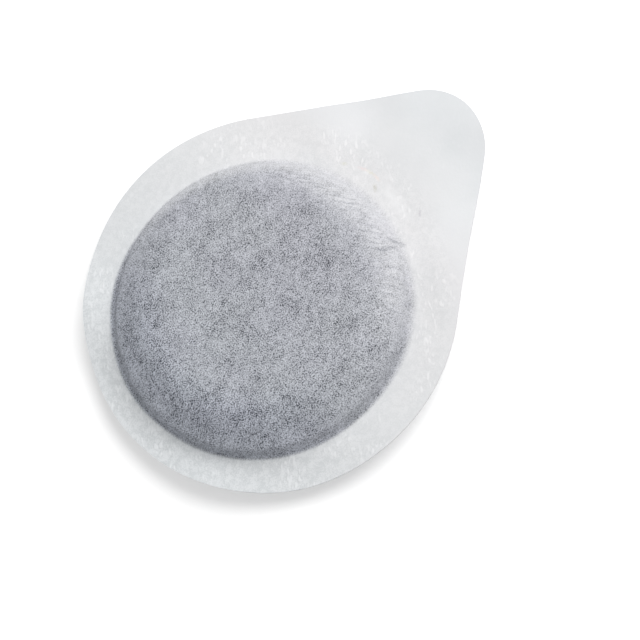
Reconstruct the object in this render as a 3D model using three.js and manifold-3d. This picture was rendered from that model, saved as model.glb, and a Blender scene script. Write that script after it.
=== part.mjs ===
// A single-serving coffee pod of the soft paper kind: a pressed cake of ground coffee between two sheets
// of filter paper. Each sheet is drawn over the cake, the two are welded flat to each other around it, and
// both are die-cut together to a drop-shaped outline whose narrow end is the tab that the pod is held by.
// Millimetres, +Z up. Z is the axis of the cake, the tab points along +X, and the pod rests on Z = 0.

import * as THREE from "three";
import { mergeVertices } from "three/addons/utils/BufferGeometryUtils.js";
import Module from "manifold-3d";

// Filter paper
const paperThickness = 0.12;

// Drawn crowns. The cake diameter is measured over the paper, where the line of the wall meets the flange,
// and each rise runs from the weld plane to the outside of its crown. A crown goes up from the flange in a
// steep wall, over a tight knee, up a chamfer and over a wide shoulder to its flat top.
const cakeDiameter = 44;
const upperRise = 4.9;
const lowerRise = 4.1;
const rootFillet = 0.4;
const wallAngle = THREE.MathUtils.degToRad(70);
const wallRise = 2.06;
const kneeRadius = 1;
const chamferAngle = THREE.MathUtils.degToRad(30);
const shoulderRadius = 8;

// Pressed coffee
const cakeClearance = 0.05;
const cakeRimHeight = 1;

// Die-cut outline: a round flange and a round tip, joined by the two straight lines that touch both.
// The flange is cut off-centre from the cake, towards the tab.
const flangeRadius = 28;
const flangeOffset = 1.6;
const tabRadius = 8.85;
const tabReach = 31.55;

// How far the turned crown laps into the flat flange that it is joined to
const joinLap = 1;

// Facets of a full turn, and of each arc of a section
const turnFacets = 64;
const arcFacets = 3;

const cakeRadius = cakeDiameter / 2;
const rootRadius = cakeRadius + rootFillet * Math.tan(wallAngle / 2);
const lapRadius = rootRadius + joinLap;
const weldHeight = lowerRise;

// Directions in a half section
const up = Math.PI / 2;
const down = -Math.PI / 2;

const wasm = await Module();
wasm.setup();

// A three.js geometry as a solid that can be joined to another
function solidOf(geometry) {
  const bare = new THREE.BufferGeometry();
  bare.setAttribute("position", geometry.getAttribute("position"));
  bare.setIndex(geometry.index);
  const merged = mergeVertices(bare);
  const mesh = new wasm.Mesh({
    numProp: 3,
    vertProperties: merged.getAttribute("position").array,
    triVerts: new Uint32Array(merged.index.array),
  });
  return new wasm.Manifold(mesh);
}

function geometryOf(solid) {
  const mesh = solid.getMesh();
  const geometry = new THREE.BufferGeometry();
  geometry.setAttribute("position", new THREE.BufferAttribute(mesh.vertProperties, 3));
  geometry.setIndex(new THREE.BufferAttribute(mesh.triVerts, 1));
  geometry.computeVertexNormals();
  return geometry;
}

// A closed half section, radius against height, turned about Z
function turned(section) {
  return new THREE.LatheGeometry(section, turnFacets).rotateX(Math.PI / 2);
}

function point(radius, height) {
  return new THREE.Vector2(radius, height);
}

function arc(centre, radius, from, to) {
  return new THREE.ArcCurve(centre.x, centre.y, radius, from, to, from > to).getPoints(arcFacets);
}

// Where the wall and the chamfer would meet without the knee's arc
function kneeCorner() {
  return point(cakeRadius - wallRise / Math.tan(wallAngle), paperThickness + wallRise);
}

// Centre of the arc that touches the wall and the chamfer
function kneeCentre() {
  const reach = kneeRadius / Math.cos((wallAngle - chamferAngle) / 2);
  const inward = down - (wallAngle + chamferAngle) / 2;
  return kneeCorner().add(point(reach * Math.cos(inward), reach * Math.sin(inward)));
}

// Centre of the shoulder's arc, whose radius is also where the crown stops being flat
function shoulderCentre(rise) {
  const corner = kneeCorner();
  const chamferRun = (rise - corner.y) / Math.tan(chamferAngle);
  const flatRadius = corner.x - chamferRun - shoulderRadius * Math.tan(chamferAngle / 2);
  return point(flatRadius, rise - shoulderRadius);
}

// Knee, chamfer and shoulder from the wall up to the flat top, at a depth below the outside of the paper
function crownLine(rise, depth) {
  return [
    ...arc(kneeCentre(), kneeRadius - depth, up - wallAngle, up - chamferAngle),
    ...arc(shoulderCentre(rise), shoulderRadius - depth, up - chamferAngle, up),
  ];
}

// Half section of a formed sheet: out along its inside, round the edge of the lap, back along its outside.
// Both faces share the centres of their arcs, so the sheet has one thickness all the way.
function sheetSection(rise) {
  const root = point(rootRadius, paperThickness + rootFillet);
  return [
    point(0, rise - paperThickness),
    ...crownLine(rise, paperThickness).reverse(),
    ...arc(root, rootFillet + paperThickness, down - wallAngle, down),
    point(lapRadius, 0),
    point(lapRadius, paperThickness),
    ...arc(root, rootFillet, down, down - wallAngle),
    ...crownLine(rise, 0),
    point(0, rise),
  ];
}

// The drop-shaped outline. The straight edges touch both arcs at the same angle to the axis of the tab.
function dropOutline() {
  const touch = Math.acos((flangeRadius - tabRadius) / tabReach);
  const outline = new THREE.Shape();
  outline.absarc(flangeOffset, 0, flangeRadius, touch, 2 * Math.PI - touch, false);
  outline.absarc(flangeOffset + tabReach, 0, tabRadius, -touch, touch, false);
  return outline;
}

// One sheet as drawn upwards, with its weld face on Z = 0
function sheetGeometry(rise) {
  const outline = dropOutline();
  const opening = new THREE.Path();
  opening.absarc(0, 0, rootRadius + joinLap / 2, 0, 2 * Math.PI, true);
  outline.holes.push(opening);
  const flange = new THREE.ExtrudeGeometry(outline, {
    depth: paperThickness,
    bevelEnabled: false,
    curveSegments: turnFacets / 2,
  });
  const crown = turned(sheetSection(rise));
  return geometryOf(solidOf(crown).add(solidOf(flange)));
}

// The cake fills both crowns with the clearance all round, and its rim is a plain upright band
function cakeGeometry() {
  const depth = paperThickness + cakeClearance;
  const rimHalf = cakeRimHeight / 2;
  const cornerRadius = cakeRadius - depth * Math.sin(wallAngle);
  const cornerHeight = paperThickness - depth * Math.cos(wallAngle);
  const rimRadius = cornerRadius - (rimHalf - cornerHeight) / Math.tan(wallAngle);
  const lowerLine = crownLine(lowerRise, depth).map((spot) => point(spot.x, -spot.y));
  return turned([
    point(0, depth - lowerRise),
    ...lowerLine.reverse(),
    point(rimRadius, -rimHalf),
    point(rimRadius, rimHalf),
    ...crownLine(upperRise, depth),
    point(0, upperRise - depth),
  ]);
}

function filterPaper() {
  return new THREE.MeshStandardMaterial({ color: 0xe9e9ec, roughness: 0.95, metalness: 0 });
}

const pod = new THREE.Group();
const welded = new THREE.Group();
welded.position.z = weldHeight;
pod.add(welded);

const upper = new THREE.Mesh(sheetGeometry(upperRise), filterPaper());
upper.name = "upper_filter_paper";
welded.add(upper);

const lower = new THREE.Mesh(sheetGeometry(lowerRise), filterPaper());
lower.name = "lower_filter_paper";
lower.rotation.x = Math.PI;
welded.add(lower);

const groundCoffee = new THREE.MeshStandardMaterial({ color: 0x4b4039, roughness: 1, metalness: 0 });
const cake = new THREE.Mesh(cakeGeometry(), groundCoffee);
cake.name = "pressed_coffee";
welded.add(cake);

export default pod;
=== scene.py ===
# A single-serving coffee pod of the soft paper kind, lying flat on a white table: a cake of pressed coffee
# between two sheets of filter paper that are welded together around it and die-cut to a drop with a tab.

import math

import bmesh
import bpy
from mathutils import Euler, Matrix, Vector, noise


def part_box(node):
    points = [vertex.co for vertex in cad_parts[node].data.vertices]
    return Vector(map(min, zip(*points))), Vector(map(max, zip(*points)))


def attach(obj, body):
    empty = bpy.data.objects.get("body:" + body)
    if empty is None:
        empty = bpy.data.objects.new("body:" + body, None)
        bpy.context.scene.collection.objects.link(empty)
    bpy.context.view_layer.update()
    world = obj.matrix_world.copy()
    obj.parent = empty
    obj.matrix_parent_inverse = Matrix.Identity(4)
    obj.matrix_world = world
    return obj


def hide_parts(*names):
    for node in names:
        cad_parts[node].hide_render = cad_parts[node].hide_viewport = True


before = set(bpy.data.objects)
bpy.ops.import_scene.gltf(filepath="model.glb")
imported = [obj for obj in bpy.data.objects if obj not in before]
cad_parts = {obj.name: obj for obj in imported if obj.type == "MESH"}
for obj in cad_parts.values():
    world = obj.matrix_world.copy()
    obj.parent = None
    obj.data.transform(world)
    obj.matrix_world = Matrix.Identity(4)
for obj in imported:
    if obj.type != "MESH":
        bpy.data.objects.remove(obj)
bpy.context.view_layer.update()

# Pressed coffee
# About seven grams of roasted and ground coffee, tamped in a round mould into a firm cake with soft edges.
# Nothing binds the grains: the cake keeps its form because the two papers are welded tight around it.
MM = 0.001
TOUCHING = 0.01 * MM
PAPER_THICKNESS = 0.12 * MM
CAKE_RADIUS = 22 * MM
WALL_ANGLE = math.radians(70)
WALL_RISE = 2.06 * MM
KNEE_RADIUS = 1 * MM
CHAMFER_ANGLE = math.radians(30)
SHOULDER_RADIUS = 8 * MM
ARC_STEPS = 12
RING_SPACING = 0.36 * MM
CAKE_SINK = 0.3 * MM
CAKE_POINTS = 120
GRAIN_VOXEL = 0.45 * MM
GRAIN_SIZE = 0.9 * MM
GRAIN_DEPTH = 0.2 * MM

weld_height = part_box("lower_filter_paper")[1].z
upper_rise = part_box("upper_filter_paper")[1].z - weld_height
lower_rise = weld_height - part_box("lower_filter_paper")[0].z


def arc(centre, radius, start, end):
    """Points of an arc in a half section, each a radius from the pod's axis and a height."""
    angles = [start + (end - start) * step / ARC_STEPS for step in range(ARC_STEPS + 1)]
    return [centre + Vector((math.cos(angle), math.sin(angle))) * radius for angle in angles]


def spaced(points):
    """The same line as points that lie about one ring spacing apart."""
    line = [points[0]]
    for start, end in zip(points, points[1:]):
        while (end - line[-1]).length > RING_SPACING:
            line.append(line[-1] + (end - line[-1]).normalized() * RING_SPACING)
    return line + [points[-1]]


def shoulder(rise, depth):
    """From the top of the steep wall over the knee, the chamfer and the round shoulder to the flat crown.

    The line lies some depth below the outside of the paper.
    """
    upright = math.pi / 2
    knee = Vector((CAKE_RADIUS - WALL_RISE / math.tan(WALL_ANGLE), PAPER_THICKNESS + WALL_RISE))
    crown_edge = knee.x - (rise - knee.y) / math.tan(CHAMFER_ANGLE)
    flat_radius = crown_edge - SHOULDER_RADIUS * math.tan(CHAMFER_ANGLE / 2)
    tangent = KNEE_RADIUS * math.tan((WALL_ANGLE - CHAMFER_ANGLE) / 2)
    up_chamfer = Vector((-math.cos(CHAMFER_ANGLE), math.sin(CHAMFER_ANGLE)))
    out_of_chamfer = Vector((math.sin(CHAMFER_ANGLE), math.cos(CHAMFER_ANGLE)))
    knee_centre = knee + up_chamfer * tangent - out_of_chamfer * KNEE_RADIUS
    shoulder_centre = Vector((flat_radius, rise - SHOULDER_RADIUS))
    turn = arc(knee_centre, KNEE_RADIUS - depth, upright - WALL_ANGLE, upright - CHAMFER_ANGLE)
    return turn + arc(shoulder_centre, SHOULDER_RADIUS - depth, upright - CHAMFER_ANGLE, upright)


def pick(kind, test):
    """Selects the vertices or edges of the mesh being edited that pass a test."""
    bpy.ops.mesh.select_mode(type="VERT" if kind == "verts" else "EDGE")
    bpy.ops.mesh.select_all(action="DESELECT")
    data = bpy.context.edit_object.data
    mesh = bmesh.from_edit_mesh(data)
    for element in getattr(mesh, kind):
        if test(element):
            element.select_set(True)
    if kind == "verts":
        mesh.select_flush(True)
    bmesh.update_edit_mesh(data)


def draw_ring(start, section, side):
    """Extrudes the selected ring of edges through a half section, upwards or downwards from the weld."""
    radius, height = start
    for next_radius, next_height in section:
        bpy.ops.mesh.extrude_edges_indiv()
        grow = next_radius / radius
        bpy.ops.transform.resize(value=(grow, grow, 1), center_override=(0, 0, weld_height))
        bpy.ops.transform.translate(value=(0, 0, side * (next_height - height)))
        radius, height = next_radius, next_height


def apply_modifier(piece, kind, **settings):
    """Adds a modifier with its settings and applies it at once."""
    modifier = piece.modifiers.new(kind.title(), kind)
    for name, value in settings.items():
        setattr(modifier, name, value)
    bpy.ops.object.modifier_apply(modifier=modifier.name)


upper_cake = spaced(shoulder(upper_rise, PAPER_THICKNESS + CAKE_SINK))
lower_cake = spaced(shoulder(lower_rise, PAPER_THICKNESS + CAKE_SINK))
cake_rim = upper_cake[0].x
bpy.ops.object.select_all(action="DESELECT")
bpy.ops.mesh.primitive_circle_add(vertices=CAKE_POINTS, radius=cake_rim, location=(0, 0, weld_height))
cake = bpy.context.object
cake.name = "tamped_coffee"
bpy.ops.object.transform_apply(location=True, rotation=False, scale=False)
bpy.ops.object.mode_set(mode="EDIT")
for section, side in ((upper_cake, 1), (lower_cake, -1)):
    pick("verts", lambda vertex: abs(vertex.co.z - weld_height) < TOUCHING)
    draw_ring((cake_rim, 0), section, side)
    bpy.ops.mesh.fill_grid(span=CAKE_POINTS // 4)
bpy.ops.mesh.select_all(action="SELECT")
bpy.ops.mesh.normals_make_consistent(inside=False)
bpy.ops.object.mode_set(mode="OBJECT")

grains = bpy.data.textures.new("coffee_grains", "CLOUDS")
grains.noise_scale = GRAIN_SIZE
apply_modifier(cake, "REMESH", mode="VOXEL", voxel_size=GRAIN_VOXEL)
apply_modifier(cake, "DISPLACE", texture=grains, strength=GRAIN_DEPTH, mid_level=1, texture_coords="LOCAL")
bpy.ops.object.shade_smooth()


def linear(colour):
    """The linear colour of an sRGB hex value."""
    channels = [int(colour[i:i + 2], 16) / 255 for i in (1, 3, 5)]
    return [c / 12.92 if c <= 0.04045 else ((c + 0.055) / 1.055) ** 2.4 for c in channels] + [1]


def node(tree, kind, sockets=None, **settings):
    """Adds a node with its settings, and gives each named or numbered input a value or a link."""
    added = tree.nodes.new("ShaderNode" + kind)
    for name, value in settings.items():
        setattr(added, name, value)
    for key, value in (sockets or {}).items():
        if isinstance(value, bpy.types.NodeSocket):
            tree.links.new(value, added.inputs[key])
        else:
            added.inputs[key].default_value = value
    return added


# Roasted coffee, ground and tamped: matte dark brown, where each grain has its own shade and stands out a
# little from the grains around it.
COFFEE_DARK = "#2E2520"
COFFEE_PALE = "#66564A"
COFFEE_ROUGHNESS = 0.75
DUST_SIZE = GRAIN_SIZE / 4
GRAIN_STRENGTH = 0.8
coffee = bpy.data.materials.new("roasted_coffee_ground_and_tamped")
coffee.use_nodes = True
tree = coffee.node_tree
place = node(tree, "TexCoord").outputs["Object"]
grain = node(tree, "TexVoronoi", {"Vector": place, "Scale": 1 / GRAIN_SIZE})
shade = node(tree, "SeparateColor", {"Color": grain.outputs["Color"]}).outputs["Red"]
brown = node(tree, "MixRGB", {"Fac": shade, "Color1": linear(COFFEE_DARK), "Color2": linear(COFFEE_PALE)})
dust = node(tree, "TexNoise", {"Vector": place, "Scale": 1 / DUST_SIZE, "Detail": 3})
rough = node(tree, "MapRange", {"Value": dust.outputs["Fac"], "To Min": COFFEE_ROUGHNESS, "To Max": 1})
bump = node(tree, "Bump", {"Height": grain.outputs["Distance"], "Distance": GRAIN_DEPTH,
                           "Strength": GRAIN_STRENGTH}, invert=True)
surface = tree.nodes["Principled BSDF"]
tree.links.new(brown.outputs["Color"], surface.inputs["Base Color"])
tree.links.new(rough.outputs["Result"], surface.inputs["Roughness"])
tree.links.new(bump.outputs["Normal"], surface.inputs["Normal"])
cake.data.materials.append(coffee)
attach(cake, "root")
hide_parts("pressed_coffee")

# Lower filter paper
# A sheet of wet-laid filter paper, drawn warm over the cake so that it takes the cake's form and gathers a
# little where it turns down. It is heat-welded to the upper sheet in a ring around the coffee, and both are
# die-cut together to a drop whose narrow end is the tab.
FLANGE_RADIUS = 28 * MM
FLANGE_OFFSET = 1.6 * MM
TAB_RADIUS = 8.85 * MM
TAB_REACH = 31.55 * MM
WELD_RADIUS = 25.9 * MM
WELD_EDGE = 0.2 * MM
LOOSE_LIFT = 0.012 * MM
ROOT_FILLET = 0.4 * MM
OUTLINE_POINTS = 120
ROUND_CUTS = 2
STRAIGHT_CUTS = 38
TAB_RINGS = 16
SMOOTH_ANGLE = math.radians(40)

# How far the drawn paper departs from its smooth form. The gathers and the tuck each rise and fall between
# two pairs of radii, and between two cosines of the turn away from the side where they are deepest.
CROWN_DENT = 0.08 * MM
CROWN_DENT_SIZE = 5 * MM
PIMPLE_HEIGHT = 0.03 * MM
PIMPLE_SIZE = 1.1 * MM
DENT_MARGIN = 3 * MM
GATHER_HEIGHT = 0.09 * MM
GATHER_PITCH = 1.5 * MM
GATHER_LENGTH = 7 * MM
GATHER_RISE = (13 * MM, 19 * MM)
GATHER_FALL = (21.5 * MM, 23 * MM)
GATHER_AZIMUTH = math.radians(-12)
GATHER_TURN = (0.2, 0.9)
GATHER_LEAST = 0.5
TUCK_DEPTH = 0.06 * MM
TUCK_RISE = (21.6 * MM, 21.9 * MM)
TUCK_FALL = (22 * MM, 22.3 * MM)
TUCK_AZIMUTH = math.radians(210)
TUCK_TURN = (0.3, 0.9)
FLANGE_WIDTH = 5 * MM
FLANGE_WAVE = 0.15 * MM
FLANGE_WAVE_SIZE = 15 * MM

# Where the flange and the tab are bent, in millimetres: the middle of each bend, how far it reaches and how
# far it rises there
BENDS = (
    {"at": (-26, 4), "reach": 23, "rise": -0.9},
    {"at": (-24, 12), "reach": 9, "rise": -0.45},
    {"at": (-19, 19), "reach": 10, "rise": 0.65},
    {"at": (-14, -24), "reach": 17, "rise": -1.1},
    {"at": (3, 27), "reach": 18, "rise": 0.4},
    {"at": (25, -17), "reach": 11, "rise": 0.7},
    {"at": (36, -9), "reach": 9, "rise": -0.7},
    {"at": (31, 10), "reach": 7, "rise": -0.4},
    {"at": (42, 0), "reach": 8, "rise": 0.4},
)

root_radius = CAKE_RADIUS + ROOT_FILLET * math.tan(WALL_ANGLE / 2)
gather_way = Vector((math.cos(GATHER_AZIMUTH), math.sin(GATHER_AZIMUTH), 0))
tuck_way = Vector((math.cos(TUCK_AZIMUTH), math.sin(TUCK_AZIMUTH), 0))


def smooth(start, end, value):
    """A soft step from 0 at the start to 1 at the end."""
    share = min(max((value - start) / (end - start), 0), 1)
    return share * share * (3 - 2 * share)


def sheet_section(rise):
    """Outside of a drawn sheet from the outer edge of the weld inwards, as heights over the weld plane."""
    weld_inside = Vector((WELD_RADIUS - WELD_EDGE, PAPER_THICKNESS))
    root_centre = Vector((root_radius, PAPER_THICKNESS + ROOT_FILLET))
    root = arc(root_centre, ROOT_FILLET, -math.pi / 2, -math.pi / 2 - WALL_ANGLE)
    return spaced([weld_inside] + root) + spaced(shoulder(rise, 0))


def stand_off(point, seed):
    """How far the paper stands out from its smooth form at a point: dents, pimples, gathers and the tuck."""
    radius = math.hypot(point.x, point.y)
    across = Vector((point.x, point.y, seed))
    dent = (noise.noise(across / CROWN_DENT_SIZE) - 1) / 2
    pimple = (noise.noise(across / PIMPLE_SIZE) - 1) / 2
    on_cake = 1 - smooth(CAKE_RADIUS - DENT_MARGIN, root_radius, radius)
    toward = Vector((point.x, point.y, 0)).normalized()
    fold = toward * (CAKE_RADIUS / GATHER_PITCH) + Vector((seed, 0, radius / GATHER_LENGTH))
    gather = noise.noise(fold)
    on_wall = smooth(*GATHER_RISE, radius) * (1 - smooth(*GATHER_FALL, radius))
    near_tab = GATHER_LEAST + (1 - GATHER_LEAST) * smooth(*GATHER_TURN, toward.dot(gather_way))
    at_foot = smooth(*TUCK_RISE, radius) * (1 - smooth(*TUCK_FALL, radius))
    tuck = at_foot * smooth(*TUCK_TURN, toward.dot(tuck_way))
    relief = on_cake * (CROWN_DENT * dent + PIMPLE_HEIGHT * pimple)
    return relief + on_wall * near_tab * GATHER_HEIGHT * gather - TUCK_DEPTH * tuck


def flange_lift(point):
    """How far both sheets together rise or droop at a point of the flange and the tab."""
    flat = Vector((point.x, point.y, 0))
    lift = FLANGE_WAVE * noise.noise(flat / FLANGE_WAVE_SIZE)
    for bend in BENDS:
        x, y = bend["at"]
        distance = math.hypot(point.x - x * MM, point.y - y * MM)
        lift += bend["rise"] * MM * (1 - smooth(0, bend["reach"] * MM, distance))
    bare = min(max(flat.length - root_radius, 0) / FLANGE_WIDTH, 1)
    return lift * bare * (2 - bare)


def drawn_sheet(name, rise, side, seed):
    """One sheet drawn over the cake, upwards or downwards from the weld, and cut to the drop outline."""
    outside = weld_height + side * (PAPER_THICKNESS + LOOSE_LIFT)
    flange_centre = (FLANGE_OFFSET, 0, outside)
    bpy.ops.object.select_all(action="DESELECT")
    bpy.ops.mesh.primitive_circle_add(vertices=OUTLINE_POINTS, radius=FLANGE_RADIUS, location=flange_centre)
    sheet = bpy.context.object
    sheet.name = name
    bpy.ops.object.transform_apply(location=True, rotation=False, scale=False)
    bpy.ops.object.mode_set(mode="EDIT")

    # The tab's end is the part of the round outline that faces it, made small and moved out, so that the
    # two long edges that follow touch both rounds.
    touch = math.acos((FLANGE_RADIUS - TAB_RADIUS) / TAB_REACH)
    pick("verts", lambda vertex: abs(math.atan2(vertex.co.y, vertex.co.x - FLANGE_OFFSET)) < touch)
    shrink = TAB_RADIUS / FLANGE_RADIUS
    bpy.ops.transform.resize(value=(shrink, shrink, 1), center_override=flange_centre)
    bpy.ops.transform.translate(value=(TAB_REACH, 0, 0))
    pick("edges", lambda edge: edge.calc_length() > TAB_RADIUS)
    bpy.ops.mesh.subdivide(number_cuts=STRAIGHT_CUTS)
    round_edge = 2 * FLANGE_RADIUS * math.sin(math.pi / OUTLINE_POINTS)
    pick("edges", lambda edge: abs(edge.calc_length() - round_edge) < round_edge / 10)
    bpy.ops.mesh.subdivide(number_cuts=ROUND_CUTS)

    # A copy of the outline is pulled in to the round outer edge of the weld, and the two are bridged.
    bpy.ops.mesh.select_mode(type="VERT")
    bpy.ops.mesh.select_all(action="SELECT")
    bpy.ops.mesh.duplicate()
    bpy.ops.transform.tosphere(value=1, center_override=(0, 0, outside))
    mesh = bmesh.from_edit_mesh(sheet.data)
    ring = [vertex for vertex in mesh.verts if vertex.select]
    points_around = len(ring)
    shrink = WELD_RADIUS / math.hypot(ring[0].co.x, ring[0].co.y)
    bpy.ops.transform.resize(value=(shrink, shrink, 1), center_override=(0, 0, outside))
    bpy.ops.mesh.select_all(action="SELECT")
    bpy.ops.mesh.bridge_edge_loops(number_cuts=TAB_RINGS, interpolation="LINEAR")

    # From there the sheet is drawn inwards along its section, and the flat crown closes it.
    pick("verts", lambda vertex: math.hypot(vertex.co.x, vertex.co.y) < WELD_RADIUS + TOUCHING)
    draw_ring((WELD_RADIUS, PAPER_THICKNESS + LOOSE_LIFT), sheet_section(rise), side)
    bpy.ops.mesh.fill_grid(span=points_around // 4)
    bpy.ops.mesh.select_all(action="SELECT")
    bpy.ops.mesh.normals_make_consistent(inside=False)
    bpy.ops.object.mode_set(mode="OBJECT")
    crown_face = max(sheet.data.polygons, key=lambda face: side * face.center.z)
    if crown_face.normal.z * side < 0:
        sheet.data.flip_normals()

    # The chance forms of the paper come last, and then its thickness, inwards from the outside.
    normals = [vertex.normal.copy() for vertex in sheet.data.vertices]
    for vertex, normal in zip(sheet.data.vertices, normals):
        flat = vertex.co.copy()
        vertex.co += normal * stand_off(flat, seed)
        vertex.co.z += flange_lift(flat)
    apply_modifier(sheet, "SOLIDIFY", thickness=PAPER_THICKNESS, offset=-1, use_even_offset=True)
    bpy.ops.object.shade_smooth_by_angle(angle=SMOOTH_ANGLE)
    return sheet


# Wet-laid filter paper, drawn and heat-welded: a matte white, close to neutral, with a faint cloudy
# formation. The weld has pressed it to a fine mottle, with patches of raised white flecks, and the tab is
# nearly plain. Over the cake the paper lies tight on the dark grains, which show through as a fine speckle
# of cool and lilac greys. On the tab's side the wall is drawn clear of the cake, so the grey pales there and
# breaks up in slanting streaks.
paper = bpy.data.materials.new("wet_laid_filter_paper_drawn_and_welded")
paper.use_nodes = True
tree = paper.node_tree
place = node(tree, "TexCoord").outputs["Object"]
apart = node(tree, "SeparateXYZ", {"Vector": place})
flat = node(tree, "VectorMath", {0: place, 1: (1, 1, 0)}, operation="MULTIPLY").outputs["Vector"]
radius = node(tree, "VectorMath", {0: flat}, operation="LENGTH").outputs["Value"]
toward = node(tree, "VectorMath", {0: flat}, operation="NORMALIZE").outputs["Vector"]

# Patterns of the grains under the paper and of the paper itself: the size of their features and the levels
# of finer detail in them. The finest grains are drawn no smaller than shows in the picture. All lie aslant,
# because such a pattern is made on a grid and is faint along it, and the flat crown would run along it.
PATTERN_TURN = (0.6, 0.4, 0)
PATTERN_MEAN = 0.5
PATTERNS = {
    "speckle": (0.18 * MM, 1),
    "clump": (0.9 * MM, 3),
    "mottle": (3.2 * MM, 2),
    "tint": (9 * MM, 1),
    "cloud": (6 * MM, 4),
    "pressed": (0.9 * MM, 3),
    "fray": (0.5 * MM, 0),
    "patch": (5 * MM, 1),
    "fibre": (0.5 * MM, 4),
}
aslant = node(tree, "Mapping", {"Vector": place, "Rotation": PATTERN_TURN}).outputs["Vector"]
pattern = {}
for name, (size, detail) in PATTERNS.items():
    chance = node(tree, "TexNoise", {"Vector": aslant, "Scale": 1 / size, "Detail": detail})
    pattern[name] = chance.outputs["Fac"]

# How far a point lies towards each side of the pod that looks unlike the rest: the azimuth of the side in
# degrees, and the cosines of the turn away from it at which it starts and at which it is full
SIDES = {
    "tab": (-10, 0.5, 0.97),
    "slack": (15, 0.3, 1),
    "far": (30, 0.12, 0.65),
    "left": (145, 0.7, 0.97),
    "tight": (190, 0, 0.8),
    "near": (-20, 0.2, 0.9),
}
side_share = {}
for name, (azimuth, start, end) in SIDES.items():
    way = (math.cos(math.radians(azimuth)), math.sin(math.radians(azimuth)), 0)
    turned = node(tree, "VectorMath", {0: toward, 1: way}, operation="DOT_PRODUCT").outputs["Value"]
    side_share[name] = node(tree, "MapRange", {"Value": turned, "From Min": start, "From Max": end},
                            interpolation_type="SMOOTHSTEP").outputs["Result"]

# Where the grains touch the paper: all over the cake, but less at its knee on the far side, and less on the
# tab's side, where the wall lifts off in slanting streaks. The grey ends at the foot of the wall, more
# softly on the near side and farther out on the left.
STREAK_AZIMUTH = math.radians(-52)
STREAK_LENGTH = 2.6 * MM
STREAK_WIDTH = 0.4 * MM
STREAK_LOW = 0.3
STREAK_HIGH = 0.65
STREAK_LEAST = 0.45
STREAK_MOST = 1.4
LIFT_START = 16.3 * MM
LIFT_END = 20.3 * MM
LIFT_FADE = 0.35
KNEE_START = 18.8 * MM
KNEE_END = 21.4 * MM
KNEE_FADE = 0.05
FAR_KNEE_FADE = 0.45
EDGE_START = 21.9 * MM
TAB_EDGE_START = 21.75 * MM
EDGE_END = 22.5 * MM
NEAR_EDGE_END = 23.3 * MM
LEFT_SPREAD = 0.5 * MM

slanted = node(tree, "Mapping", {"Vector": flat, "Rotation": (0, 0, STREAK_AZIMUTH),
                                 "Scale": (STREAK_LENGTH, STREAK_WIDTH, 1)}, vector_type="TEXTURE")
streak = node(tree, "TexNoise", {"Vector": slanted.outputs["Vector"], "Scale": 1,
                                 "Detail": 2}).outputs["Fac"]
streaked = node(tree, "MapRange", {"Value": streak, "From Min": STREAK_LOW, "From Max": STREAK_HIGH,
                                   "To Min": STREAK_LEAST, "To Max": STREAK_MOST}).outputs["Result"]
lifted = node(tree, "MapRange", {"Value": radius, "From Min": LIFT_START, "From Max": LIFT_END,
                                 "To Max": LIFT_FADE}, interpolation_type="SMOOTHSTEP").outputs["Result"]
fade = node(tree, "Math", {0: lifted, 1: streaked}, operation="MULTIPLY").outputs["Value"]
fade = node(tree, "Math", {0: fade, 1: side_share["tab"]}, operation="MULTIPLY").outputs["Value"]
knee_share = node(tree, "MapRange", {"Value": side_share["far"], "To Min": KNEE_FADE,
                                     "To Max": FAR_KNEE_FADE}).outputs["Result"]
at_knee = node(tree, "MapRange", {"Value": radius, "From Min": KNEE_START, "From Max": KNEE_END},
               interpolation_type="SMOOTHSTEP").outputs["Result"]
knee_fade = node(tree, "Math", {0: at_knee, 1: knee_share}, operation="MULTIPLY").outputs["Value"]
fade = node(tree, "Math", {0: fade, 1: knee_fade}, operation="MAXIMUM").outputs["Value"]
reach = node(tree, "Math", {0: side_share["left"], 1: -LEFT_SPREAD, 2: radius}, operation="MULTIPLY_ADD")
edge_start = node(tree, "MapRange", {"Value": side_share["tab"], "To Min": EDGE_START,
                                     "To Max": TAB_EDGE_START}).outputs["Result"]
edge_end = node(tree, "MapRange", {"Value": side_share["near"], "To Min": EDGE_END,
                                   "To Max": NEAR_EDGE_END}).outputs["Result"]
edge = node(tree, "MapRange", {"Value": reach.outputs["Value"], "From Min": edge_start, "From Max": edge_end,
                               "To Min": 1, "To Max": 0}, interpolation_type="SMOOTHSTEP").outputs["Result"]
kept = node(tree, "Math", {0: 1, 1: fade}, operation="SUBTRACT").outputs["Value"]
cover = node(tree, "Math", {0: edge, 1: kept}, operation="MULTIPLY").outputs["Value"]

# Speckle of the grains under the paper. Each fine grain has paler gaps beside it, and the grains lie in
# clumps. They show more clearly where the paper is pulled tight over the edge of the cake, and less
# clearly on the wall and where the paper is slack, which also has faint slanting streaks. Over the edge
# of the cake on the side away from the lamp the speckle is also darkened a little as painted shade.
GREY_DARK = "#363940"
GREY_MIDDLE = "#B6B8BE"
GREY_PALE = "#DADCE2"
SPECK_MIDDLE = 0.5375
SPECK_SPREAD = 0.215
GRAIN_WEIGHT = 0.9
GAP_WEIGHT = -0.085
GAP_STEP = 0.16 * MM
GAP_AZIMUTHS = (45, 165, 285)
CLUMP_WEIGHT = 0.24
MOTTLE_WEIGHT = 0.18
TAUT_START = 12 * MM
TAUT_END = 17 * MM
# Painted shade: how much darker the grey is over the edge of the cake on the side away from the lamp
PAINTED_SHADE_WEIGHT = -0.01
TAUT_CALM = -0.15
WALL_START = 18.5 * MM
WALL_END = 21.5 * MM
WALL_CALM = 0.2
SLACK_START = 13 * MM
SLACK_END = 18 * MM
SLACK_CALM = 0.34
STREAK_WEIGHT = 0.6

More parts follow.
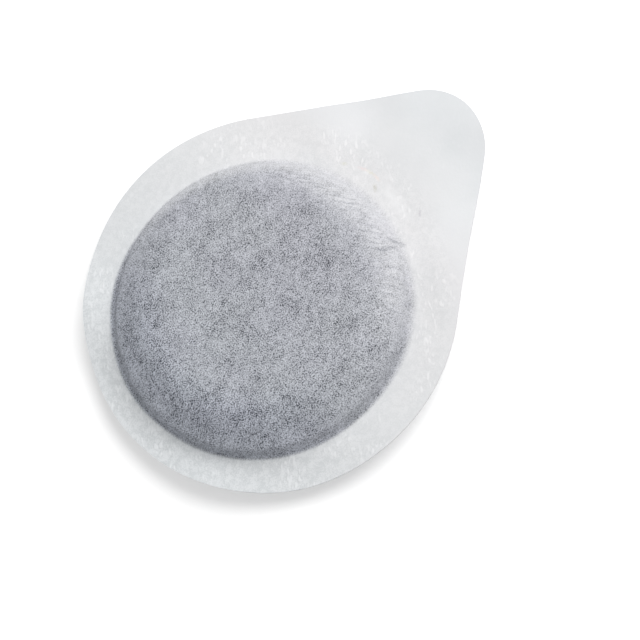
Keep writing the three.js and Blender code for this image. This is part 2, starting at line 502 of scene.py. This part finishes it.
speckle_size, speckle_detail = PATTERNS["speckle"]
speck = node(tree, "Math", {0: pattern["speckle"], 1: GRAIN_WEIGHT}, operation="MULTIPLY").outputs["Value"]
for azimuth in GAP_AZIMUTHS:
    step = Vector((math.cos(math.radians(azimuth)), math.sin(math.radians(azimuth)), 0)) * GAP_STEP
    step.rotate(Euler(PATTERN_TURN))
    beside = node(tree, "VectorMath", {0: aslant, 1: step}, operation="ADD").outputs["Vector"]
    gap = node(tree, "TexNoise", {"Vector": beside, "Scale": 1 / speckle_size,
                                  "Detail": speckle_detail}).outputs["Fac"]
    speck = node(tree, "Math", {0: gap, 1: GAP_WEIGHT, 2: speck}, operation="MULTIPLY_ADD").outputs["Value"]
over_edge = node(tree, "MapRange", {"Value": radius, "From Min": TAUT_START, "From Max": TAUT_END},
                 interpolation_type="SMOOTHSTEP").outputs["Result"]
# Cake's edge away from the lamp: clearer grains, with the grey darkened and tinted slate as painted shade
taut_and_shaded = node(tree, "Math", {0: over_edge, 1: side_share["tight"]}, operation="MULTIPLY").outputs["Value"]
for part, weight in ((pattern["clump"], CLUMP_WEIGHT), (pattern["mottle"], MOTTLE_WEIGHT),
                     (taut_and_shaded, PAINTED_SHADE_WEIGHT)):
    speck = node(tree, "Math", {0: part, 1: weight, 2: speck}, operation="MULTIPLY_ADD").outputs["Value"]
calm = node(tree, "MapRange", {"Value": radius, "From Min": WALL_START, "From Max": WALL_END,
                               "To Max": WALL_CALM}, interpolation_type="SMOOTHSTEP").outputs["Result"]
slack = node(tree, "MapRange", {"Value": radius, "From Min": SLACK_START, "From Max": SLACK_END,
                                "To Max": SLACK_CALM}, interpolation_type="SMOOTHSTEP").outputs["Result"]
slack = node(tree, "Math", {0: slack, 1: side_share["slack"]}, operation="MULTIPLY").outputs["Value"]
calm = node(tree, "Math", {0: calm, 1: slack}, operation="MAXIMUM").outputs["Value"]
calm = node(tree, "Math", {0: taut_and_shaded, 1: TAUT_CALM, 2: calm}, operation="MULTIPLY_ADD").outputs["Value"]
speck = node(tree, "Mix", {"Factor": calm, "A": speck, "B": SPECK_MIDDLE},
             clamp_factor=False).outputs["Result"]
ribbed = node(tree, "Math", {0: streak, 1: PATTERN_MEAN}, operation="SUBTRACT").outputs["Value"]
for share in (lifted, side_share["slack"]):
    ribbed = node(tree, "Math", {0: ribbed, 1: share}, operation="MULTIPLY").outputs["Value"]
speck = node(tree, "Math", {0: ribbed, 1: STREAK_WEIGHT, 2: speck},
             operation="MULTIPLY_ADD").outputs["Value"]
depth = node(tree, "MapRange", {"Value": speck, "From Min": SPECK_MIDDLE - SPECK_SPREAD,
                                "From Max": SPECK_MIDDLE + SPECK_SPREAD}).outputs["Result"]
grey = node(tree, "ValToRGB", {"Fac": depth})
grey.color_ramp.elements[0].color = linear(GREY_DARK)
grey.color_ramp.elements[1].color = linear(GREY_PALE)
grey.color_ramp.elements.new(0.5).color = linear(GREY_MIDDLE)

# Formation of the bare paper, with painted light on both sides of the neck of the tab, whiter where the
# flanks face the lamp. That white lies a little aslant to the tab.
PAPER_WHITE = "#ECECED"
PAPER_CLOUD = "#E7E8E9"
PAINTED_LIGHT_WHITE = "#F1F2F4"
CLOUD_LOW = 0.3
CLOUD_HIGH = 0.7
FLANK_START = 6 * MM
FLANK_END = 11 * MM
LIT_FLANK_SLANT = (1, -0.15, 0)
LIT_FLANK_START = 19.5 * MM
LIT_FLANK_FULL = 24.5 * MM
LIT_FLANK_FADE = 27.5 * MM
LIT_FLANK_END = 34.5 * MM
PAINTED_LIGHT_SHARE = 0.5

formed = node(tree, "MapRange", {"Value": pattern["cloud"], "From Min": CLOUD_LOW, "From Max": CLOUD_HIGH})
white = node(tree, "MixRGB", {"Fac": formed.outputs["Result"], "Color1": linear(PAPER_CLOUD),
                              "Color2": linear(PAPER_WHITE)}).outputs["Color"]
aside = node(tree, "Math", {0: apart.outputs["Y"]}, operation="ABSOLUTE").outputs["Value"]
flank = node(tree, "MapRange", {"Value": aside, "From Min": FLANK_START, "From Max": FLANK_END},
             interpolation_type="SMOOTHSTEP").outputs["Result"]
askew = node(tree, "VectorMath", {0: place, 1: LIT_FLANK_SLANT}, operation="DOT_PRODUCT").outputs["Value"]
before = node(tree, "MapRange", {"Value": askew, "From Min": LIT_FLANK_START, "From Max": LIT_FLANK_FULL},
              interpolation_type="SMOOTHSTEP").outputs["Result"]
behind = node(tree, "MapRange", {"Value": askew, "From Min": LIT_FLANK_FADE, "From Max": LIT_FLANK_END,
                                 "To Min": PAINTED_LIGHT_SHARE, "To Max": 0},
              interpolation_type="SMOOTHSTEP").outputs["Result"]
# Painted light on the flanks of the tab's neck, where they face the lamp
painted_flank_light = node(tree, "Math", {0: flank, 1: before}, operation="MULTIPLY").outputs["Value"]
painted_flank_light = node(tree, "Math", {0: painted_flank_light, 1: behind}, operation="MULTIPLY").outputs["Value"]
white = node(tree, "MixRGB", {"Fac": painted_flank_light, "Color1": white, "Color2": linear(PAINTED_LIGHT_WHITE)}).outputs["Color"]

# Fine mottle of the weld, stronger on the side away from the tab, and the patches of drawn-out flecks
# that the weld has raised, whose white is partly the pale of the pressed paper and partly a painted
# highlight. The flecks are cut from halfway between two layers of their pattern's grid.
PRESSED_DARK = "#D6D8D9"
PRESSED_PALE = "#F7F7F8"
FLECK_AND_HIGHLIGHT_WHITE = "#F5F5F6"
RING_FADE = 27 * MM
RING_END = 30 * MM
RING_LEAST = 0.1
PRESS_SHARE = 0.22
TIGHT_PRESS_SHARE = 0.5
FINE_WEIGHT = 0.9
DAPPLE_LOW = 0.35 + FINE_WEIGHT * PATTERN_MEAN
DAPPLE_HIGH = 0.65 + FINE_WEIGHT * PATTERN_MEAN
PATCH_LOW = 0.45
PATCH_HIGH = 0.62
FLECK_AZIMUTH = math.radians(45)
FLECK_LENGTH = 0.8 * MM
FLECK_WIDTH = 0.4 * MM
FLECK_LAYER = -0.5
FLECK_LOW = 0.55
FLECK_HIGH = 0.78
RAISED_SHARE = 0.6

ring = node(tree, "MapRange", {"Value": radius, "From Min": RING_FADE, "From Max": RING_END, "To Min": 1,
                               "To Max": RING_LEAST}, interpolation_type="SMOOTHSTEP").outputs["Result"]
press = node(tree, "MapRange", {"Value": side_share["tight"], "To Min": PRESS_SHARE,
                                "To Max": TIGHT_PRESS_SHARE}).outputs["Result"]
press = node(tree, "Math", {0: press, 1: ring}, operation="MULTIPLY").outputs["Value"]
dapple = node(tree, "Math", {0: pattern["speckle"], 1: FINE_WEIGHT, 2: pattern["pressed"]},
              operation="MULTIPLY_ADD").outputs["Value"]
dapple = node(tree, "MapRange", {"Value": dapple, "From Min": DAPPLE_LOW, "From Max": DAPPLE_HIGH})
pressed = node(tree, "MixRGB", {"Fac": dapple.outputs["Result"], "Color1": linear(PRESSED_DARK),
                                "Color2": linear(PRESSED_PALE)}).outputs["Color"]
white = node(tree, "MixRGB", {"Fac": press, "Color1": white, "Color2": pressed}).outputs["Color"]
patchy = node(tree, "MapRange", {"Value": pattern["patch"], "From Min": PATCH_LOW, "From Max": PATCH_HIGH})
embossed = node(tree, "Math", {0: patchy.outputs["Result"], 1: ring}, operation="MULTIPLY").outputs["Value"]
drawn_out = node(tree, "Mapping", {"Vector": flat, "Location": (0, 0, FLECK_LAYER),
                                   "Rotation": (0, 0, FLECK_AZIMUTH),
                                   "Scale": (FLECK_LENGTH, FLECK_WIDTH, 1)}, vector_type="TEXTURE")
spot = node(tree, "TexNoise", {"Vector": drawn_out.outputs["Vector"], "Scale": 1, "Detail": 0})
spot = node(tree, "MapRange", {"Value": spot.outputs["Fac"], "From Min": FLECK_LOW, "From Max": FLECK_HIGH},
            interpolation_type="SMOOTHSTEP").outputs["Result"]
raised = node(tree, "Math", {0: spot, 1: embossed}, operation="MULTIPLY").outputs["Value"]
# The white of the raised flecks is partly a painted highlight
white = node(tree, "MixRGB", {"Fac": raised, "Color1": white,
                              "Color2": linear(FLECK_AND_HIGHLIGHT_WHITE)}).outputs["Color"]
deep = node(tree, "MapRange", {"Value": side_share["tight"], "To Min": RAISED_SHARE, "To Max": 1})
raised = node(tree, "Math", {0: raised, 1: deep.outputs["Result"]}, operation="MULTIPLY").outputs["Value"]

# Grey over white, with faint tints of painted light colour along the pod: cool on the shaded end away
# from the tab and the lamp, rosy at the neck nearer the lamp and cool again on the tab. The grey also has
# lilac patches, and it takes a slate tint of painted shade over the edge of the cake away from the lamp.
COOL_SHADE_TINT = "#FBFEFF"
ROSE_LIGHT_TINT = "#FFFEFE"
TAB_TINT = "#FCFEFF"
LILAC_TINT = "#FEFDFF"
SLATE_SHADE_TINT = "#FBFCFF"
TINT_START = -22 * MM
TINT_END = 38 * MM
ROSE_PLACE = 0.75
LILAC_LOW = 0.35
LILAC_HIGH = 0.65

colour = node(tree, "MixRGB", {"Fac": cover, "Color1": white,
                               "Color2": grey.outputs["Color"]}).outputs["Color"]
# The tint along the pod is a painted light colour: cool at the shaded end, rosy towards the lamp
lean = node(tree, "MapRange", {"Value": apart.outputs["X"], "From Min": TINT_START, "From Max": TINT_END})
tint = node(tree, "ValToRGB", {"Fac": lean.outputs["Result"]})
tint.color_ramp.elements[0].color = linear(COOL_SHADE_TINT)
tint.color_ramp.elements[1].color = linear(TAB_TINT)
tint.color_ramp.elements.new(ROSE_PLACE).color = linear(ROSE_LIGHT_TINT)
colour = node(tree, "MixRGB", {"Fac": 1, "Color1": colour, "Color2": tint.outputs["Color"]},
              blend_type="MULTIPLY").outputs["Color"]
lilac = node(tree, "MapRange", {"Value": pattern["tint"], "From Min": LILAC_LOW, "From Max": LILAC_HIGH})
# The slate tint over the edge of the cake on the side away from the lamp is painted shade
for part, shade in ((lilac.outputs["Result"], LILAC_TINT), (taut_and_shaded, SLATE_SHADE_TINT)):
    share = node(tree, "Math", {0: part, 1: cover}, operation="MULTIPLY").outputs["Value"]
    colour = node(tree, "MixRGB", {"Fac": share, "Color1": colour, "Color2": linear(shade)},
                  blend_type="MULTIPLY").outputs["Color"]

# Marks on the upper side, each a soft, broken streak of one colour, placed and sized in millimetres:
# painted shade for three slanting folds of the wall and for a short crease in the flange, a thin stain of
# coffee at the edge of the weld, a paler stretch of the weld, and painted shade at the foot of the wall.
MARKS = (
    # Painted shade of three slanting folds of the wall
    {"colour": "#7C7F86", "at": (20.6, -7.4), "azimuth": -62, "reach": 1.8, "breadth": 0.5, "share": 0.6},
    {"colour": "#7C7F86", "at": (19.4, -7.9), "azimuth": -35, "reach": 1.7, "breadth": 0.5, "share": 0.75},
    {"colour": "#7C7F86", "at": (18.2, -7.6), "azimuth": -30, "reach": 0.9, "breadth": 0.5, "share": 0.75},
    # Painted shade of a short crease in the flange
    {"colour": "#D2D1D5", "at": (26.0, -6.6), "azimuth": 48, "reach": 1.1, "breadth": 0.35, "share": 0.9},
    {"colour": "#F1E3E3", "at": (24.8, 4.4), "azimuth": -66, "reach": 1.3, "breadth": 0.4, "share": 0.8},
    {"colour": "#E9E6D9", "at": (25.2, 3.1), "azimuth": -80, "reach": 1.3, "breadth": 0.45, "share": 0.8},
    {"colour": "#F2E6E0", "at": (25.3, 1.9), "azimuth": -95, "reach": 1.1, "breadth": 0.4, "share": 0.8},
    {"colour": "#CBC9C0", "at": (24.1, 1.0), "azimuth": 50, "reach": 1.0, "breadth": 0.5, "share": 0.8},
    {"colour": "#DCDCCF", "at": (23.4, 7.0), "azimuth": -60, "reach": 0.7, "breadth": 0.4, "share": 0.8},
    {"colour": "#FAFAFB", "at": (24.9, -2.8), "azimuth": 84, "reach": 5, "breadth": 1.6, "share": 0.6},
    # Painted shade at the foot of the wall beside the neck of the tab
    {"colour": "#D8DADC", "at": (21.2, 9.6), "azimuth": 114, "reach": 6, "breadth": 1.8, "share": 0.45},
)
FRAY = 0.3
BREAK_PALE = 0.6
BREAK_DARK = 0.4
BREAK_LEAST = 0.4

on_top = node(tree, "Math", {0: apart.outputs["Z"], 1: weld_height}, operation="GREATER_THAN")
frayed = node(tree, "MapRange", {"Value": pattern["fray"], "To Min": -FRAY, "To Max": FRAY})
broken = node(tree, "MapRange", {"Value": pattern["speckle"], "From Min": BREAK_PALE, "From Max": BREAK_DARK,
                                 "To Min": BREAK_LEAST, "To Max": 1}).outputs["Result"]
broken = node(tree, "Math", {0: broken, 1: on_top.outputs["Value"]}, operation="MULTIPLY").outputs["Value"]
for mark in MARKS:
    x, y = mark["at"]
    local = node(tree, "Mapping", {"Vector": flat, "Location": (x * MM, y * MM, 0),
                                   "Rotation": (0, 0, math.radians(mark["azimuth"])),
                                   "Scale": (mark["reach"] * MM, mark["breadth"] * MM, 1)},
                 vector_type="TEXTURE").outputs["Vector"]
    distance = node(tree, "VectorMath", {0: local}, operation="LENGTH").outputs["Value"]
    distance = node(tree, "Math", {0: distance, 1: frayed.outputs["Result"]}, operation="ADD")
    strength = node(tree, "MapRange", {"Value": distance.outputs["Value"], "From Max": 1,
                                       "To Min": mark["share"], "To Max": 0},
                    interpolation_type="SMOOTHSTEP").outputs["Result"]
    strength = node(tree, "Math", {0: strength, 1: broken}, operation="MULTIPLY").outputs["Value"]
    colour = node(tree, "MixRGB", {"Fac": strength, "Color1": colour,
                                   "Color2": linear(mark["colour"])}).outputs["Color"]

# Surface of the paper: matte, with the flecks of the weld raised and fine fibres all over
PAPER_ROUGHNESS = 0.88
PAPER_SPECULAR = 0.15
FLECK_HEIGHT = 0.04 * MM
FIBRE_HEIGHT = 0.03 * MM
FIBRE_STRENGTH = 0.5

rough = node(tree, "MapRange", {"Value": pattern["fibre"], "To Min": PAPER_ROUGHNESS, "To Max": 1})
emboss = node(tree, "Bump", {"Height": raised, "Distance": FLECK_HEIGHT, "Strength": 1})
bump = node(tree, "Bump", {"Height": pattern["fibre"], "Distance": FIBRE_HEIGHT, "Strength": FIBRE_STRENGTH,
                           "Normal": emboss.outputs["Normal"]})
surface = tree.nodes["Principled BSDF"]
surface.inputs["Specular IOR Level"].default_value = PAPER_SPECULAR
tree.links.new(colour, surface.inputs["Base Color"])
tree.links.new(rough.outputs["Result"], surface.inputs["Roughness"])
tree.links.new(bump.outputs["Normal"], surface.inputs["Normal"])

lower_sheet = drawn_sheet("drawn_lower_paper", lower_rise, side=-1, seed=7)
lower_sheet.data.materials.append(paper)
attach(lower_sheet, "root")
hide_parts("lower_filter_paper")

# Upper filter paper
# The same sheet again, drawn the other way over the top of the cake: this is the side that is seen. It is
# welded face to face to the lower sheet, so the two move as one.
upper_sheet = drawn_sheet("drawn_upper_paper", upper_rise, side=1, seed=2)
upper_sheet.data.materials.append(paper)
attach(upper_sheet, "root")
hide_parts("upper_filter_paper")

# Table and light
# A white lacquered table top that is lit to plain white and keeps the pod's shadow, one soft lamp beyond the
# tab and an even pale surround.
FLOOR_SIZE = 3
FLOOR_WHITE = "#FAFAFA"
FLOOR_ROUGHNESS = 0.9
FLOOR_GLOW = 0.34
PURE_WHITE = "#FFFFFF"
LAMP_HEIGHT_ANGLE = math.radians(50)
LAMP_AZIMUTH = math.radians(5)
LAMP_DISTANCE = 0.55
LAMP_SIZE = 0.48
LAMP_POWER = 2.45
SURROUND = 0.41

bpy.ops.object.select_all(action="DESELECT")
bpy.ops.mesh.primitive_plane_add(size=FLOOR_SIZE)
floor = bpy.context.object
floor.name = "table_top"
table = bpy.data.materials.new("white_lacquered_board")
table.use_nodes = True
tree = table.node_tree
seen = node(tree, "LightPath").outputs["Is Camera Ray"]
glow = node(tree, "Math", {0: seen, 1: FLOOR_GLOW}, operation="MULTIPLY").outputs["Value"]
surface = tree.nodes["Principled BSDF"]
surface.inputs["Base Color"].default_value = linear(FLOOR_WHITE)
surface.inputs["Roughness"].default_value = FLOOR_ROUGHNESS
surface.inputs["Specular IOR Level"].default_value = 0
surface.inputs["Emission Color"].default_value = linear(PURE_WHITE)
tree.links.new(glow, surface.inputs["Emission Strength"])
floor.data.materials.append(table)

surround = bpy.data.worlds.new("pale_surround")
surround.use_nodes = True
tree = surround.node_tree
seen = node(tree, "LightPath").outputs["Is Camera Ray"]
level = node(tree, "MapRange", {"Value": seen, "To Min": SURROUND, "To Max": 1}).outputs["Result"]
tree.links.new(level, tree.nodes["Background"].inputs["Strength"])
tree.nodes["Background"].inputs["Color"].default_value = linear(PURE_WHITE)
bpy.context.scene.world = surround

middle = Vector((FLANGE_OFFSET, 0, weld_height))
lamp_data = bpy.data.lights.new("soft_lamp", "AREA")
lamp_data.shape = "DISK"
lamp_data.size = LAMP_SIZE
lamp_data.energy = LAMP_POWER
lamp = bpy.data.objects.new("soft_lamp", lamp_data)
lamp_level = math.cos(LAMP_HEIGHT_ANGLE)
lamp_way = Vector((lamp_level * math.cos(LAMP_AZIMUTH), lamp_level * math.sin(LAMP_AZIMUTH),
                   math.sin(LAMP_HEIGHT_ANGLE)))
lamp.location = middle + lamp_way * LAMP_DISTANCE
lamp.rotation_euler = lamp_way.to_track_quat("Z", "Y").to_euler()
bpy.context.collection.objects.link(lamp)

# Camera
# A long lens that looks steeply down on the pod, with the picture rolled so that the tab points up and to
# the right. The middle of the round flange lies left of and above the middle of the picture.
CAMERA_ANGLE = math.radians(71.3)
CAMERA_ROLL = math.radians(44.45)
CAMERA_DISTANCE = 0.4
SENSOR_WIDTH = 36
PICTURE_PIXELS = 640
PIXELS_PER_METRE = 6910
FLANGE_PIXEL = (268.9, 301.1)

camera_data = bpy.data.cameras.new("camera")
camera_data.sensor_width = SENSOR_WIDTH
camera_data.lens = SENSOR_WIDTH * PIXELS_PER_METRE * CAMERA_DISTANCE / PICTURE_PIXELS
back = Vector((0, -math.cos(CAMERA_ANGLE), math.sin(CAMERA_ANGLE)))
level_right = Vector((1, 0, 0))
level_up = back.cross(level_right)
right = level_right * math.cos(CAMERA_ROLL) - level_up * math.sin(CAMERA_ROLL)
up = level_right * math.sin(CAMERA_ROLL) + level_up * math.cos(CAMERA_ROLL)
right_shift = (PICTURE_PIXELS / 2 - FLANGE_PIXEL[0]) / PIXELS_PER_METRE
down_shift = (PICTURE_PIXELS / 2 - FLANGE_PIXEL[1]) / PIXELS_PER_METRE
camera = bpy.data.objects.new("camera", camera_data)
stand = middle + back * CAMERA_DISTANCE + right * right_shift - up * down_shift
turn = Matrix((right, up, back)).transposed().to_4x4()
camera.matrix_world = Matrix.Translation(stand) @ turn
bpy.context.collection.objects.link(camera)
bpy.context.scene.camera = camera
bpy.context.scene.view_settings.view_transform = "Standard"
